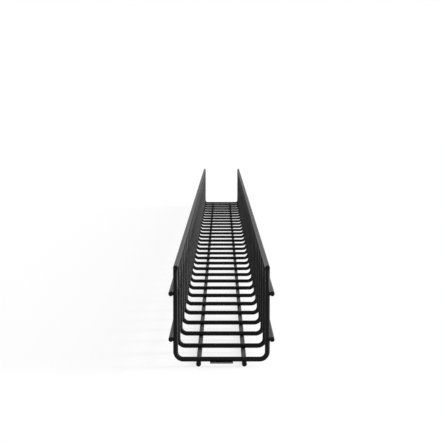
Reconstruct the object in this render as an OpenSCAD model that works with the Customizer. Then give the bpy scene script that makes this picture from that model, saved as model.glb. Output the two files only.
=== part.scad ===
// Wire mesh cable basket: one stock length of U-shaped cable tray, made of round steel wires
// that are welded where they cross and then powder coated black. Every cross wire is bent to a
// U and holds the cables. Two floor wires run under the cross wires, two side wires run along
// the outside of each wall, and one edge wire closes each wall at the top. A small bare plate
// for marking the run is welded under the first cross wire.
//
// Frame: X across the basket, Y along it, Z up. The origin is the middle of the underside, in
// the plane that the basket lies on, halfway between its two cut ends.

/* [Basket] */
// Width over the cross wires, under the coat
basket_w = 100; // [80:5:300]
// Height from the underside of the floor wires to the top of the edge wires, under the coat
basket_h = 105; // [100:5:150]
// Number of cross wires along the basket
cross_count = 31; // [2:1:50]
// Distance between neighbouring cross wires
cross_pitch = 100; // [50:5:150]
// Inner radius of the bends in a cross wire, under the coat
bend_r = 5.5; // [3:0.5:12]

/* [Wires] */
// Diameter of every wire, under the coat
wire_d = 5; // [4:0.5:6]
// Thickness of the powder coat
coat_t = 0.1; // [0.05:0.01:0.2]
// Depth that two crossing wires sink into each other at their weld
weld_set = 0.1; // [0.05:0.05:0.6]
// Radius of the edge at the cut ends of the long wires
end_round = 0.4; // [0.1:0.1:1]
// Distance between the two floor wires
floor_spacing = 47.5; // [40:0.5:60]
// Height of the lower side wires above the axis of a cross wire's floor
side_low_h = 20.7; // [15:0.1:24]
// Height of the upper side wires above the lower ones
side_spacing = 47.5; // [30:0.5:55]

/* [Marking plate] */
// Width of the plate, across the basket
plate_w = 24; // [16:1:30]
// Length of the plate in front of its weld
plate_front = 6; // [4:0.5:8]
// Length of the plate behind its weld
plate_back = 4; // [3:0.5:6]
// Thickness of the plate
plate_t = 0.6; // [0.4:0.1:1]
// Slope of the plate, down towards its front edge
plate_slope = 10; // [0:1:12]
// Depth of the flat that the plate is seated in, under the first cross wire
plate_set = 0.1; // [0.05:0.05:0.3]
// Radius of the plate's corners
plate_corner_r = 1; // [0.5:0.25:1.5]

/* [Hidden] */
coated_r = wire_d / 2 + coat_t;                 // every wire is made with its coat
round_fn = 48;
past = 1;                                       // how far a cutter runs past what it cuts

first_y = -(cross_count - 1) * cross_pitch / 2; // axis of the first cross wire
coated_l = (cross_count - 1) * cross_pitch + 2 * coated_r;
crossing = wire_d - weld_set;                   // between the axes of two welded wires

floor_wire_z = coated_r;                        // axes of the long wires, from the underside
cross_z = floor_wire_z + crossing;              // axis of a cross wire's floor
leg_x = (basket_w - wire_d) / 2;                // axis of a cross wire's leg
side_x = leg_x + crossing;
side_low_z = cross_z + side_low_h;
side_high_z = side_low_z + side_spacing;
edge_z = floor_wire_z + basket_h - wire_d;
leg_top = edge_z - wire_d / 2 + weld_set;       // a leg sinks into the edge wire by one weld
bend_axis_r = bend_r + wire_d / 2;

steel_black = [0.07, 0.07, 0.075];
plate_grey = [0.32, 0.32, 0.33];

SIDES = ["left", "right"];
CROSS = [for (i = [1 : cross_count]) str("cross_wire_", i < 10 ? "0" : "", i)];

// -1 on the left, 1 on the right
function side_sign(s) = s == "left" ? -1 : 1;

function cross_y(i) = first_y + (i - 1) * cross_pitch;

// A long wire along Y, from end to end of the basket, with the edges of its cut ends rounded
module long_wire(x, z) {
    translate([x, 0, z])
        rotate([90, 0, 0])
            rotate_extrude($fn = round_fn) {
                translate([0, end_round - coated_l / 2])
                    square([coated_r, coated_l - 2 * end_round]);
                translate([0, -coated_l / 2])
                    square([coated_r - end_round, coated_l]);
                for (s = [-1, 1])
                    translate([coated_r - end_round, s * (coated_l / 2 - end_round)])
                        circle(r = end_round, $fn = round_fn);
            }
}

// The seat of a long wire in the cross wire at y
module seat_cutter(x, y, z) {
    translate([x, y, z])
        rotate([90, 0, 0])
            cylinder(r = coated_r, h = 2 * (coated_r + past), center = true, $fn = round_fn);
}

// The seats of the eight long wires
module seat_cutters(y) {
    for (s = [-1, 1]) {
        seat_cutter(s * floor_spacing / 2, y, floor_wire_z);
        seat_cutter(s * side_x, y, side_low_z);
        seat_cutter(s * side_x, y, side_high_z);
        seat_cutter(s * leg_x, y, edge_z);
    }
}

// Half of a cross wire's U: half the floor, the bend and the leg, on the +X side
module cross_half() {
    floor_l = leg_x - bend_axis_r;
    translate([0, 0, cross_z])
        rotate([0, 90, 0])
            cylinder(r = coated_r, h = floor_l, $fn = round_fn);
    translate([floor_l, 0, cross_z + bend_axis_r])
        rotate([90, 0, 0])
            rotate([0, 0, -90])
                rotate_extrude(angle = 90, $fn = round_fn)
                    translate([bend_axis_r, 0])
                        circle(r = coated_r, $fn = round_fn);
    translate([leg_x, 0, cross_z + bend_axis_r])
        cylinder(r = coated_r, h = leg_top - cross_z - bend_axis_r, $fn = round_fn);
}

// A cross wire at y, with a seat pressed into it by each long wire that it is welded to. The
// first one also has a flat underneath for the marking plate.
module cross_wire(y) {
    color(steel_black)
        difference() {
            translate([0, y, 0])
                union() {
                    cross_half();
                    mirror([1, 0, 0]) cross_half();
                }
            seat_cutters(y);
            if (y == first_y) plate_blank();
        }
}

module floor_wire(s) {
    color(steel_black) long_wire(s * floor_spacing / 2, floor_wire_z);
}

module side_wire(s, z) {
    color(steel_black) long_wire(s * side_x, z);
}

module edge_wire(s) {
    color(steel_black) long_wire(s * leg_x, edge_z);
}

// A thin plate whose upper face is welded to the first cross wire from below. It slopes down to
// the front and stands out past the cut ends of the long wires.
module marking_plate() {
    color(plate_grey) plate_blank();
}

module plate_blank() {
    plate_top = plate_set - coated_r;           // from the axis of the wire that carries it
    translate([0, first_y, cross_z])
        rotate([plate_slope, 0, 0])
            translate([0, (plate_back - plate_front) / 2, plate_top - plate_t])
                linear_extrude(plate_t)
                    rounded_rectangle(plate_w, plate_front + plate_back, plate_corner_r);
}

// A w by l rectangle round the origin, with its corners rounded to r
module rounded_rectangle(w, l, r) {
    square([w - 2 * r, l], center = true);
    square([w, l - 2 * r], center = true);
    for (x = [-1, 1], y = [-1, 1])
        translate([x * (w / 2 - r), y * (l / 2 - r)])
            circle(r = r, $fn = round_fn);
}

for (i = [1 : cross_count])
    cross_wire(cross_y(i));
for (s = SIDES) {
    floor_wire(side_sign(s));
    side_wire(side_sign(s), side_low_z);
    side_wire(side_sign(s), side_high_z);
    edge_wire(side_sign(s));
}
marking_plate();
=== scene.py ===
"""The looks of a wire mesh cable basket: coated round wires, their welds and cut ends, the marking
plate, the studio and the camera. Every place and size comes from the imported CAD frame, in metres,
with X across the basket, Y along it and Z up."""

import math

import bmesh
import bpy
import numpy as np
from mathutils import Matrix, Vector


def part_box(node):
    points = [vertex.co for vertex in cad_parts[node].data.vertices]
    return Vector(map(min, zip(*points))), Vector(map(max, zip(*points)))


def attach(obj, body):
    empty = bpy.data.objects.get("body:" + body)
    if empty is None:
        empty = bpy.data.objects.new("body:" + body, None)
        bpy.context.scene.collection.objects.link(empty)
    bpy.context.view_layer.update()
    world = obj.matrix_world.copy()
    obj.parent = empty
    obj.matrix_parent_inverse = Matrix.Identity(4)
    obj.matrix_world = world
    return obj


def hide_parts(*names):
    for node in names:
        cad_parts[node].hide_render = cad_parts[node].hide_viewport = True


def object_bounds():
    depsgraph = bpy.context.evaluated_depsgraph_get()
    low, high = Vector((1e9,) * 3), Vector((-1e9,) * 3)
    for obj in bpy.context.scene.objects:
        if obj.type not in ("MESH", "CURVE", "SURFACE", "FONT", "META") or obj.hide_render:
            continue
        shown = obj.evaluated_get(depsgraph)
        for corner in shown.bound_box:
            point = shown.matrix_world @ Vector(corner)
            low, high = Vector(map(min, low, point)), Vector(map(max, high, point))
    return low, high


MM = 0.001

# Wire meshes
SIDES = 24                     # corners of a wire's cross section
BEND_R = 8.0 * MM              # radius of a cross wire's bends, at the wire's axis
BEND_STEPS = 12
END_ROUND = 0.4 * MM           # rounding of the cut ends
END_STEPS = 4
CUT_DISH = 0.05 * MM           # how far the middle of a cut end lies back
ELECTRODE_DEPTH = 0.10 * MM    # flat that a welding electrode leaves opposite each weld
ELECTRODE_HALF = 3.0 * MM      # half the length of that flat
ELECTRODE_FADE = 0.4           # share of that half over which the flat runs out
WELD_STATIONS = (-3.4, -2.5, -1.7, -0.9, 0.0, 0.9, 1.7, 2.5, 3.4)   # mm from a weld, for the rings

# Weld beads
BEAD_SIDES = 24
BEAD_R = 1.75 * MM             # waist of the melted ring between two crossing wires
BEAD_FOOT = 0.45 * MM          # how far the ring spreads where it meets the wires
BEAD_BURY = 0.04 * MM          # how far its edges lie under the wires' surfaces
BEAD_WOBBLE = (0.03, 0.07)     # how unround the rings are, from the least to the most
BEAD_ROWS = (0.0, 0.22, 0.5, 0.78, 1.0)    # heights in a ring, as shares of its own height
COLLAR_FOOT = 0.35 * MM        # how far the melted collar on a leg's end reaches down the leg
COLLAR_ACROSS = 0.86           # its spread on the edge wire, against the radius of the leg
COLLAR_ALONG = 1.16
COLLAR_BULGE = 0.10            # how far it stands out over the leg's cut end, in the same measure
COLLAR_BURY = 0.04 * MM
COLLAR_ROWS = (0.0, 0.25, 0.5, 0.75, 1.0)


# ---------------------------------------------------------------- the frame

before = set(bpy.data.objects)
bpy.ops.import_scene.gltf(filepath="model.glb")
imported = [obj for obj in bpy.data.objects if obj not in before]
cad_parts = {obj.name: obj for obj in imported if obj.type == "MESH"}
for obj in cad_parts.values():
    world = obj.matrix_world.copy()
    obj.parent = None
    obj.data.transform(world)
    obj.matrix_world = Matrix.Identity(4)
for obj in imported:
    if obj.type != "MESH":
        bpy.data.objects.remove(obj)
cad_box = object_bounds()


def node_axis(node):
    """(x, z) of the axis of a long wire, its radius and its two ends in y."""
    lo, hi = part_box(node)
    return (lo.x + hi.x) / 2, (lo.z + hi.z) / 2, (hi.x - lo.x) / 2, lo.y, hi.y


cross_nodes = sorted(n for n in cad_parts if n.startswith("cross_wire_"))
long_nodes = sorted(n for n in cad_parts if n.endswith(("_left", "_right")))
wire_r = node_axis("floor_wire_left")[2]
cross_ys = [(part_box(n)[0].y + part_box(n)[1].y) / 2 for n in cross_nodes]
cross_lo, cross_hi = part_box(cross_nodes[0])
leg_x = cross_hi.x - wire_r
floor_z = cross_lo.z + wire_r
leg_top = cross_hi.z


# ---------------------------------------------------------------- mesh helpers

def new_object(name, verts, faces):
    mesh = bpy.data.meshes.new(name)
    mesh.from_pydata([tuple(v) for v in verts], [], faces)
    mesh.validate()
    mesh.polygons.foreach_set("use_smooth", [True] * len(mesh.polygons))
    obj = bpy.data.objects.new(name, mesh)
    bpy.context.scene.collection.objects.link(obj)
    return obj


class Build:
    """Collects the vertices and faces of one mesh."""

    def __init__(self):
        self.verts = []
        self.faces = []

    def rings(self, rings, flip=False):
        """Joins rings of equally many points with quads. Returns the first index of each ring."""
        starts = []
        for ring in rings:
            starts.append(len(self.verts))
            self.verts.extend(ring)
        n = len(rings[0])
        for a, b in zip(starts, starts[1:]):
            for i in range(n):
                j = (i + 1) % n
                quad = (a + i, a + j, b + j, b + i)
                self.faces.append(quad[::-1] if flip else quad)
        return starts

    def close(self, start, n, centre, flip=False):
        """Closes a ring with a fan round its centre."""
        c = len(self.verts)
        self.verts.append(centre)
        for i in range(n):
            tri = (start + i, c, start + (i + 1) % n)
            self.faces.append(tri[::-1] if flip else tri)

    def shell(self, rings, first_centre, last_centre, flip=False):
        """A closed shell of rings with a fan over each end."""
        starts = self.rings(rings, flip)
        self.close(starts[0], len(rings[0]), first_centre, flip)
        self.close(starts[-1], len(rings[0]), last_centre, not flip)


def smooth(t):
    t = min(max(t, 0.0), 1.0)
    return t * t * (3 - 2 * t)


def wire_ring(centre, out, side, press, flat):
    """One ring of a wire. out and side span its cross section, and the wire is flattened by the
    depth flat on the side that faces press."""
    ring = []
    limit = wire_r - flat
    for k in range(SIDES):
        a = 2 * math.pi * k / SIDES
        v = out * (math.cos(a) * wire_r) + side * (math.sin(a) * wire_r)
        over = v.dot(press) - limit
        if flat > 0 and over > 0:
            v = v - press * over
        ring.append(centre + v)
    return ring


def electrode_flat(offset):
    """Depth of the electrode's flat at a distance along the wire from the weld."""
    return ELECTRODE_DEPTH * smooth((ELECTRODE_HALF - abs(offset)) / (ELECTRODE_FADE * ELECTRODE_HALF))


# ---------------------------------------------------------------- welds

def weld_bead(build, middle, along_low, along_high, up, seed):
    """The melted ring round the contact of two crossing wires. middle is the contact point,
    along_low the direction of the wire below it, along_high that of the wire above it, and up
    points from the first to the second."""
    low_half = wire_r - CROSS_SET / 2
    rng = np.random.default_rng(seed)
    phase, wobble = rng.uniform(0, 2 * math.pi), rng.uniform(*BEAD_WOBBLE)
    rings = []
    for t in BEAD_ROWS:
        ring = []
        for k in range(BEAD_SIDES):
            a = 2 * math.pi * k / BEAD_SIDES
            waist = BEAD_R * (1 + wobble * math.sin(2 * a + phase))
            rho = waist + BEAD_FOOT * (2 * t - 1) ** 2
            u, v = rho * math.cos(a), rho * math.sin(a)
            low = -low_half + math.sqrt(wire_r ** 2 - u ** 2) - BEAD_BURY
            high = low_half - math.sqrt(wire_r ** 2 - v ** 2) + BEAD_BURY
            w = low + (high - low) * t
            ring.append(middle + along_high * u + along_low * v + up * w)
        rings.append(ring)
    build.shell(rings, middle, middle, flip=along_high.cross(along_low).dot(up) < 0)


def leg_bead(build, x, y):
    """The collar of melted steel where a leg's end meets the edge wire above it."""
    low_z = edge_z - wire_r
    end_room = min(y - front_y, back_y - y) - COLLAR_BURY
    rings = []
    for t in COLLAR_ROWS:
        ring = []
        for k in range(BEAD_SIDES):
            a = 2 * math.pi * k / BEAD_SIDES
            c, s = math.cos(a), math.sin(a)
            foot = (wire_r - COLLAR_BURY) * Vector((c, s, 0))
            foot.z = low_z - COLLAR_FOOT * (1 + s * s)
            end = wire_r * Vector((COLLAR_ACROSS * c, COLLAR_ALONG * s, 0))
            end.z = edge_z - math.sqrt(wire_r ** 2 - end.x ** 2) + COLLAR_BURY
            bulge = wire_r * (1 + COLLAR_BULGE * c * c) * Vector((c, s, 0))
            bulge.z = end.z * s * s + (leg_top + COLLAR_BURY) * c * c
            p = foot * (1 - t) ** 2 + bulge * (2 * t * (1 - t)) + end * t ** 2
            ring.append(Vector((x + p.x, y + max(-end_room, min(p.y, end_room)), p.z)))
        rings.append(ring)
    build.shell(rings, Vector((x, y, low_z - COLLAR_FOOT)), Vector((x, y, low_z + COLLAR_FOOT)))


# ---------------------------------------------------------------- cross wires

side_axis_x = node_axis("side_wire_lower_right")[0]
edge_z, _, front_y, back_y = node_axis("edge_wire_right")[1:]
low_wire_z = node_axis("floor_wire_right")[1]
leg_welds = [node_axis("side_wire_lower_right")[1], node_axis("side_wire_upper_right")[1]]
floor_welds = [node_axis("floor_wire_left")[0], node_axis("floor_wire_right")[0]]
CROSS_SET = 2 * wire_r - (floor_z - low_wire_z)   # how far two crossing wires sink together


def u_path():
    """The stations of a cross wire's axis from the top of the left leg to that of the right:
    (x, z, direction out of the U, distance to the nearest weld of the station)."""
    leg_foot = floor_z + BEND_R
    floor_end = leg_x - BEND_R
    heights = {leg_foot, sum(leg_welds) / 2}
    for h in leg_welds:
        heights |= {h + o * MM for o in WELD_STATIONS}
    floors = {-floor_end, 0.0, floor_end}
    for x in floor_welds:
        floors |= {x + o * MM for o in WELD_STATIONS}

    def near(value, places):
        return min((value - p for p in places), key=abs)

    heights = sorted(heights | {leg_top}, reverse=True)
    left = [(-leg_x, h, Vector((-1, 0, 0)), near(h, leg_welds)) for h in heights]
    bend = []
    for k in range(1, BEND_STEPS):
        a = math.pi / 2 * k / BEND_STEPS
        out = Vector((-math.cos(a), 0, -math.sin(a)))
        bend.append((-floor_end + BEND_R * out.x, leg_foot + BEND_R * out.z, out, BEND_R))
    floor = [(x, floor_z, Vector((0, 0, -1)), near(x, floor_welds)) for x in sorted(floors)]

    def mirrored(stations):
        return [(-x, z, Vector((-o.x, 0, o.z)), d) for x, z, o, d in reversed(stations)]

    return left + bend + floor + mirrored(bend) + mirrored(left)


U_PATH = u_path()
SEEDS_A_WIRE = 100


def cross_wire(node, y, index):
    """A bent wire with its welds to the eight long wires."""
    build = Build()
    along_y = Vector((0, 1, 0))
    rings = []
    for x, z, out, offset in U_PATH:
        rings.append(wire_ring(Vector((x, y, z)), out, along_y, -out, electrode_flat(offset)))
    build.shell(rings, Vector((-leg_x, y, leg_top)), Vector((leg_x, y, leg_top)))
    seed = SEEDS_A_WIRE * index
    across = Vector((1, 0, 0))
    height = Vector((0, 0, 1))
    for x in floor_welds:
        seed += 1
        middle = Vector((x, y, (floor_z + low_wire_z) / 2))
        weld_bead(build, middle, along_y, across, height, seed)
    for s in (-1, 1):
        for h in leg_welds:
            seed += 1
            middle = Vector((s * (leg_x + side_axis_x) / 2, y, h))
            weld_bead(build, middle, along_y, height, across * -s, seed)
        leg_bead(build, s * leg_x, y)
    return new_object("coated_" + node, build.verts, build.faces)


# ---------------------------------------------------------------- long wires

PRESS = {                       # the side of each long wire that the electrode presses
    "floor_wire_left": (0, 0, -1), "floor_wire_right": (0, 0, -1),
    "side_wire_lower_left": (-1, 0, 0), "side_wire_upper_left": (-1, 0, 0),
    "side_wire_lower_right": (1, 0, 0), "side_wire_upper_right": (1, 0, 0),
    "edge_wire_left": (0, 0, 1), "edge_wire_right": (0, 0, 1),
}


def long_wire(node):
    """A straight wire with an electrode's flat at each weld and rounded cut ends."""
    x, z, _, y_lo, y_hi = node_axis(node)
    press = Vector(PRESS[node])
    across, height = Vector((1, 0, 0)), Vector((0, 0, 1))
    places = [y_lo + END_ROUND, y_hi - END_ROUND]
    for y in cross_ys:
        places += [y + o * MM for o in WELD_STATIONS]
    places += [(a + b) / 2 for a, b in zip(cross_ys, cross_ys[1:])]
    places = sorted(p for p in places if y_lo + END_ROUND <= p <= y_hi - END_ROUND)
    rings = []
    for y in places:
        offset = min((y - c for c in cross_ys), key=abs)
        rings.append(wire_ring(Vector((x, y, z)), across, height, press, electrode_flat(offset)))

    def cap(end, inward):
        """Rings over a rounded cut end, from its rim to the middle of its face."""
        flat = electrode_flat(min((end - c for c in cross_ys), key=abs))
        out = []
        for k in range(1, END_STEPS + 1):
            a = math.pi / 2 * k / END_STEPS
            centre = Vector((x, end + inward * END_ROUND * (1 - math.sin(a)), z))
            shrink = (wire_r - END_ROUND * (1 - math.cos(a))) / wire_r
            base = wire_ring(centre, across, height, press, flat)
            out.append([centre + (p - centre) * shrink for p in base])
        inner = Vector((x, end + inward * CUT_DISH / 2, z))
        out.append([inner + (p - centre) * 0.5 for p in out[-1]])
        return out

    front = cap(y_lo, 1)
    back = cap(y_hi, -1)
    build = Build()
    dish = Vector((0, CUT_DISH, 0))
    ends = Vector((x, y_lo, z)) + dish, Vector((x, y_hi, z)) - dish
    build.shell(front[::-1] + rings + back, *ends, flip=True)
    return new_object("coated_" + node, build.verts, build.faces)


# ---------------------------------------------------------------- marking plate

PLATE_EDGE = 0.12 * MM         # rounding of the plate's sheared edges
PLATE_EDGE_STEPS = 3
SAME_POINT = 0.001 * MM
SAME_FACE = math.radians(2)    # faces that turn by less are one
SHARP = 1.0                    # an edge that turns by more, in radians, is rounded
LARGE_FACE = 20 * MM * MM      # a face from this area on is shaded flat


def marking_plate():
    """The plate of the frame with its flat faces whole again and its edges rounded."""
    mesh = bpy.data.meshes.new("grey_marking_plate")
    shape = bmesh.new()
    shape.from_mesh(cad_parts["marking_plate"].data)
    bmesh.ops.remove_doubles(shape, verts=shape.verts, dist=SAME_POINT)
    bmesh.ops.dissolve_limit(
        shape, angle_limit=SAME_FACE, verts=shape.verts, edges=shape.edges
    )
    rim = [e for e in shape.edges if len(e.link_faces) == 2 and e.calc_face_angle() > SHARP]
    bmesh.ops.bevel(
        shape, geom=rim, offset=PLATE_EDGE, segments=PLATE_EDGE_STEPS, profile=0.5, affect="EDGES"
    )
    for face in shape.faces:
        face.smooth = face.calc_area() < LARGE_FACE
    shape.to_mesh(mesh)
    shape.free()
    obj = bpy.data.objects.new("grey_marking_plate", mesh)
    bpy.context.scene.collection.objects.link(obj)
    return obj


# ---------------------------------------------------------------- materials

# Noises of the coat: features a metre, detail and roughness of the noise
CLOUD = (90, 3, 0.5)
GLOSS = (420, 2, 0.5)
PEEL = (1500, 2, 0.6)
PEEL_STRENGTH = 0.6
PEEL_HEIGHT = 0.08 * MM
NOISE_SPAN = (0.3, 0.7)        # the values of a noise that a ramp runs between


def principled(name):
    material = bpy.data.materials.new(name)
    material.use_nodes = True
    nodes, links = material.node_tree.nodes, material.node_tree.links
    return material, nodes, links, nodes["Principled BSDF"]


def noise(nodes, links, where, kind):
    node = nodes.new("ShaderNodeTexNoise")
    for socket, value in zip(("Scale", "Detail", "Roughness"), kind):
        node.inputs[socket].default_value = value
    links.new(where.outputs["Object"], node.inputs["Vector"])
    return node


def ramp(nodes, links, source, first, last):
    """A ramp over a noise, from the first colour to the last. A single number is a grey."""
    node = nodes.new("ShaderNodeValToRGB")
    for element, place, colour in zip(node.color_ramp.elements, NOISE_SPAN, (first, last)):
        element.position = place
        element.color = (*colour, 1) if isinstance(colour, tuple) else (colour,) * 3 + (1,)
    links.new(source.outputs["Fac"], node.inputs["Fac"])
    return node


def powder_coat(name, dark, light, rough, specular):
    """Fine satin powder coat: orange peel, a slight cloud in its colour, and uneven gloss."""
    material, nodes, links, shader = principled(name)
    where = nodes.new("ShaderNodeTexCoord")
    colour = ramp(nodes, links, noise(nodes, links, where, CLOUD), dark, light)
    links.new(colour.outputs["Color"], shader.inputs["Base Color"])
    gloss = ramp(nodes, links, noise(nodes, links, where, GLOSS), *rough)
    links.new(gloss.outputs["Color"], shader.inputs["Roughness"])
    shader.inputs["Specular IOR Level"].default_value = specular
    bump = nodes.new("ShaderNodeBump")
    bump.inputs["Strength"].default_value = PEEL_STRENGTH
    bump.inputs["Distance"].default_value = PEEL_HEIGHT
    links.new(noise(nodes, links, where, PEEL).outputs["Fac"], bump.inputs["Height"])
    links.new(bump.outputs["Normal"], shader.inputs["Normal"])
    return material


black_coat = powder_coat(
    "black_powder_coat", (0.004, 0.004, 0.0042), (0.007, 0.007, 0.0074), (0.46, 0.54), 0.12
)
plate_coat = powder_coat(
    "grey_plate", (0.30, 0.30, 0.305), (0.36, 0.36, 0.365), (0.42, 0.54), 0.3
)


# ---------------------------------------------------------------- the basket

def finish_piece(obj, node, material):
    obj.data.materials.clear()
    obj.data.materials.append(material)
    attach(obj, "root")
    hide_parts(node)


for index, (node, y) in enumerate(zip(cross_nodes, cross_ys), start=1):
    finish_piece(cross_wire(node, y, index), node, black_coat)
for node in long_nodes:
    finish_piece(long_wire(node), node, black_coat)

finish_piece(marking_plate(), "marking_plate", plate_coat)


# ---------------------------------------------------------------- studio

AMBIENT = 0.22            # light of the world on the object, where 1 is white
# Lamps: light on a surface that faces the lamp, where 1 is white, then degrees above the floor,
# degrees to the right of the line of sight, and degrees across, which makes the light soft
KEY = (0.70, 40.0, 75.0, 40.0)
SIDE_STRIP = (2.30, 8.0, 75.0, 40.0)
BACK_STRIP = (0.26, 8.0, -45.0, 40.0)
FLOOR_HALF = 60.0         # half the floor's width, in metres
FLOOR_GREY = 0.8          # the floor, for the light that it throws back
FLOOR_ROUGH = 0.9
FLOOR_SHADE = 0.22        # share of the floor's white, for the camera, that a shadow can take away


def background(nodes, strength):
    node = nodes.new("ShaderNodeBackground")
    node.inputs["Color"].default_value = (1, 1, 1, 1)
    node.inputs["Strength"].default_value = strength
    return node


def seen_directly(nodes, links, kinds):
    """1 for rays of the given kinds, and 0 for all others."""
    path = nodes.new("ShaderNodeLightPath")
    result = path.outputs[kinds[0]]
    for kind in kinds[1:]:
        either = nodes.new("ShaderNodeMath")
        either.operation = "MAXIMUM"
        links.new(result, either.inputs[0])
        links.new(path.outputs[kind], either.inputs[1])
        result = either.outputs[0]
    return result


def blend(nodes, links, factor, first, second):
    node = nodes.new("ShaderNodeMixShader")
    links.new(factor, node.inputs["Fac"])
    links.new(first, node.inputs[1])
    links.new(second, node.inputs[2])
    return node.outputs[0]


VIEWED = ("Is Camera Ray", "Is Glossy Ray", "Is Transmission Ray")


def white_world():
    """White all round for the camera and in reflections, and a softer light on the object."""
    world = bpy.data.worlds.new("studio")
    bpy.context.scene.world = world
    world.use_nodes = True
    nodes, links = world.node_tree.nodes, world.node_tree.links
    nodes.clear()
    out = nodes.new("ShaderNodeOutputWorld")
    light, white = background(nodes, AMBIENT), background(nodes, 1.0)
    viewed = seen_directly(nodes, links, VIEWED)
    mix = blend(nodes, links, viewed, light.outputs[0], white.outputs[0])
    links.new(mix, out.inputs["Surface"])


def floor_material():
    """A matt pale floor. For the camera and in reflections it is lifted to white, and it keeps a
    share of the basket's shadow."""
    material, nodes, links, matt = principled("pale_floor")
    matt.inputs["Base Color"].default_value = (FLOOR_GREY, FLOOR_GREY, FLOOR_GREY, 1)
    matt.inputs["Roughness"].default_value = FLOOR_ROUGH
    matt.inputs["Specular IOR Level"].default_value = 0.0
    shaded = nodes.new("ShaderNodeBsdfDiffuse")
    lamps = sum(lamp[0] * math.sin(math.radians(lamp[1])) for lamp in (KEY, SIDE_STRIP, BACK_STRIP))
    share = FLOOR_SHADE / (AMBIENT + lamps)
    shaded.inputs["Color"].default_value = (share, share, share, 1)
    lift = nodes.new("ShaderNodeEmission")
    lift.inputs["Strength"].default_value = 1.0 - FLOOR_SHADE
    lifted = nodes.new("ShaderNodeAddShader")
    links.new(shaded.outputs[0], lifted.inputs[0])
    links.new(lift.outputs[0], lifted.inputs[1])
    viewed = seen_directly(nodes, links, VIEWED)
    mix = blend(nodes, links, viewed, matt.outputs[0], lifted.outputs[0])
    links.new(mix, nodes["Material Output"].inputs["Surface"])
    return material


def floor():
    low, size = cad_box[0][2], FLOOR_HALF
    corners = [(-size, -size), (size, -size), (size, size), (-size, size)]
    obj = new_object("floor", [(x, y, low) for x, y in corners], [(0, 1, 2, 3)])
    obj.data.materials.append(floor_material())


def soft_lamp(name, level, elevation, azimuth, across):
    """A large soft lamp, so far away that it lights the whole length alike."""
    data = bpy.data.lights.new(name, "SUN")
    data.angle = math.radians(across)
    data.energy = math.pi * level
    obj = bpy.data.objects.new(name, data)
    bpy.context.scene.collection.objects.link(obj)
    up, right = math.radians(elevation), math.radians(azimuth)
    towards = Vector((math.sin(right) * math.cos(up), math.cos(right) * math.cos(up), math.sin(up)))
    obj.rotation_euler = towards.to_track_quat("Z", "Y").to_euler()


white_world()
floor()
soft_lamp("key_softbox", *KEY)
soft_lamp("side_strip", *SIDE_STRIP)
soft_lamp("back_strip", *BACK_STRIP)


# ---------------------------------------------------------------- camera

CAMERA_LENS = 134.05           # mm
CAMERA_SENSOR = 36.0           # mm across
CAMERA_REACH = 200.0           # metres
CAMERA_BACK = 1697.2 * MM      # from the first cross wire's axis
CAMERA_HEIGHT = 261.4 * MM     # above the floor
CAMERA_DOWN = 3.740            # degrees below level


def make_camera():
    data = bpy.data.cameras.new("camera")
    data.lens = CAMERA_LENS
    data.sensor_width = CAMERA_SENSOR
    data.clip_end = CAMERA_REACH
    camera = bpy.data.objects.new("camera", data)
    bpy.context.scene.collection.objects.link(camera)
    camera.location = (0.0, cross_ys[0] - CAMERA_BACK, cad_box[0][2] + CAMERA_HEIGHT)
    camera.rotation_euler = (math.radians(90 - CAMERA_DOWN), 0, 0)
    bpy.context.scene.camera = camera


make_camera()
bpy.context.scene.view_settings.view_transform = "Standard"
